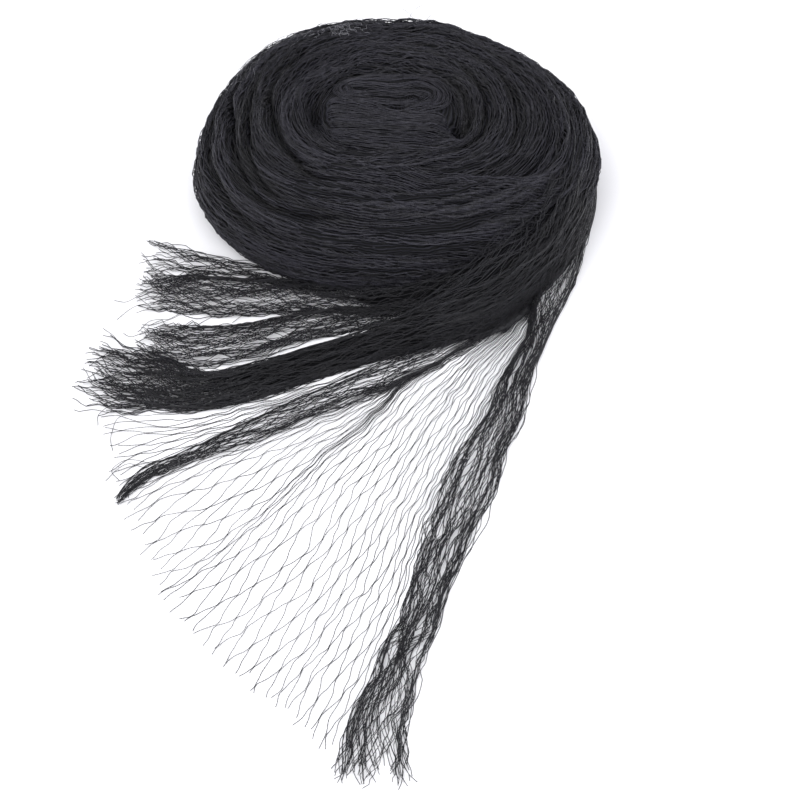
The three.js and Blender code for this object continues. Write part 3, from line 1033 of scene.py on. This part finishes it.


# The fuzz at the back left of the coil, where the outermost mesh has slipped and lies in small squiggles,
# drawn pale as painted light, and a few single twines that stick up behind the crown. Ranges of angle, place,
# lift and length, how far each twine curls and runs on, how many there are, and how pale their painted light
# is.
fuzz = {
    "seed": 71,
    "twine": 0.32,
    "step": 1.2,
    "radius": 135,  # turns a length along the winding into an angle
    "patches": [
        {"angle": (84, 150), "place": (116, 165), "lift": (0.2, 1.6), "length": (14, 34),
         "curl": 0.8, "run": 1.0, "count": 120, "pale": 0.15},
        {"angle": (101, 117), "place": (94, 122), "lift": (0.8, 2.4), "length": (12, 26),
         "curl": 1.5, "run": 0.5, "count": 36, "pale": 0.85},
        {"angle": (118, 128), "place": (106, 126), "lift": (0.6, 2.0), "length": (10, 22),
         "curl": 1.3, "run": 0.5, "count": 14, "pale": 0.65},
        {"angle": (134, 150), "place": (122, 146), "lift": (1.2, 2.8), "length": (14, 28),
         "curl": 0.5, "run": 1.0, "count": 18, "pale": 0.45},
    ],
    "hairs": [
        [(82, 122, 0), (84, 118, 7), (83, 115, 13), (79, 114, 18)],
        [(80, 120, 0), (81, 117, 6), (84, 115, 12), (88, 114, 16)],
        [(78, 120, 0), (78, 116, 5), (75, 113, 9)],
        [(96, 122, 0), (95, 117, 3), (98, 114, 5)],
    ],
}


def fuzzPaths():
    rng = np.random.default_rng(fuzz["seed"])
    batches = []
    for patch in fuzz["patches"]:
        for _ in range(patch["count"]):
            length = rng.uniform(*patch["length"])
            travel = np.arange(0, length, fuzz["step"])
            turn = math.radians(rng.uniform(*patch["angle"]))
            place = rng.uniform(*patch["place"])
            phase = rng.uniform(0, math.tau, 4)
            curl = patch["curl"] * rng.uniform(0.6, 1.3, 2)
            bend = rng.uniform(1.3, 2.2, 2)
            run = patch["run"] * travel + curl[0] * np.sin(travel / bend[0] + phase[0])
            angle = turn + run / fuzz["radius"]
            down = place + rng.normal(0, 0.2) * travel + curl[1] * np.sin(travel / bend[1] + phase[1])
            arch = np.sin(math.pi * travel / length)
            lift = rng.uniform(*patch["lift"]) * arch + 0.5 * np.sin(travel / 2.3 + phase[2]) * arch
            path = windingPoints(angle, down, lift)
            # painted light: the tone sets how pale the black twine is drawn
            tone = np.clip(rng.normal(patch["pale"], 0.3), 0, 1)
            batches.append(twineTubes(path[None], fuzz["twine"], tone))
    for hair in fuzz["hairs"]:
        hair = np.array(hair, float)
        keys = np.arange(len(hair))
        angle, place, lift = smoothThrough(keys, hair, np.linspace(0, keys[-1], 14)).T
        path = windingPoints(np.radians(angle), place, lift)
        batches.append(twineTubes(path[None], fuzz["twine"], 0.3))
    return batches


makePiece("coilFuzz", fuzzPaths(), fuzzTwine)


view = {
    "target": (0.002, -0.207, 0.0),
    "elevation": 55.0,
    "distance": 1.62,
    "lens": 100.0,
    "sensor": 36.0,
}


tent = {"horizon": 1.08, "overhead": 1.5}


def makeFloor():
    material, _, shader = newMaterial("whitePaperFloor")
    shader.inputs["Base Color"].default_value = linearColour("#f7f7f8")
    shader.inputs["Roughness"].default_value = 0.9
    shader.inputs["Specular IOR Level"].default_value = 0.1
    floorMesh = bpy.data.meshes.new("floor")
    half = 12.0
    corners = [(-half, -half, 0), (half, -half, 0), (half, half, 0), (-half, half, 0)]
    floorMesh.from_pydata(corners, [], [(0, 1, 2, 3)])
    floorMesh.materials.append(material)
    floor = bpy.data.objects.new("floor", floorMesh)
    bpy.context.scene.collection.objects.link(floor)


def makeLight(name, spot, size, power):
    light = bpy.data.lights.new(name, "AREA")
    light.energy = power
    light.size = size
    lamp = bpy.data.objects.new(name, light)
    lamp.location = spot
    lamp.rotation_euler = (Vector((0, -0.15, 0)) - Vector(spot)).to_track_quat("-Z", "Y").to_euler()
    bpy.context.scene.collection.objects.link(lamp)


# a light tent: brightest overhead, and dimmer at the horizon
def makeWorld():
    world = bpy.data.worlds.new("softStudio")
    world.use_nodes = True
    tree = world.node_tree
    background = tree.nodes["Background"]
    background.inputs["Color"].default_value = linearColour("#fbfbff")
    heading = addNode(tree, "ShaderNodeTexCoord")
    upward = addNode(tree, "ShaderNodeSeparateXYZ", {"Vector": heading.outputs["Generated"]})
    strength = addNode(
        tree, "ShaderNodeMapRange",
        {"Value": upward.outputs["Z"], "To Min": tent["horizon"], "To Max": tent["overhead"]},
    )
    tree.links.new(strength.outputs["Result"], background.inputs["Strength"])
    bpy.context.scene.world = world


def makeCamera():
    camera = bpy.data.cameras.new("camera")
    camera.lens = view["lens"]
    camera.sensor_width = view["sensor"]
    eye = bpy.data.objects.new("camera", camera)
    tilt = math.radians(view["elevation"])
    target = Vector(view["target"])
    eye.location = target + view["distance"] * Vector((0, -math.cos(tilt), math.sin(tilt)))
    eye.rotation_euler = (math.pi / 2 - tilt, 0, 0)
    bpy.context.scene.collection.objects.link(eye)
    bpy.context.scene.camera = eye


makeFloor()
makeLight("softKey", (-1.5, -0.7, 2.3), 1.8, 19)
makeWorld()
makeCamera()
bpy.context.scene.view_settings.view_transform = "Standard"
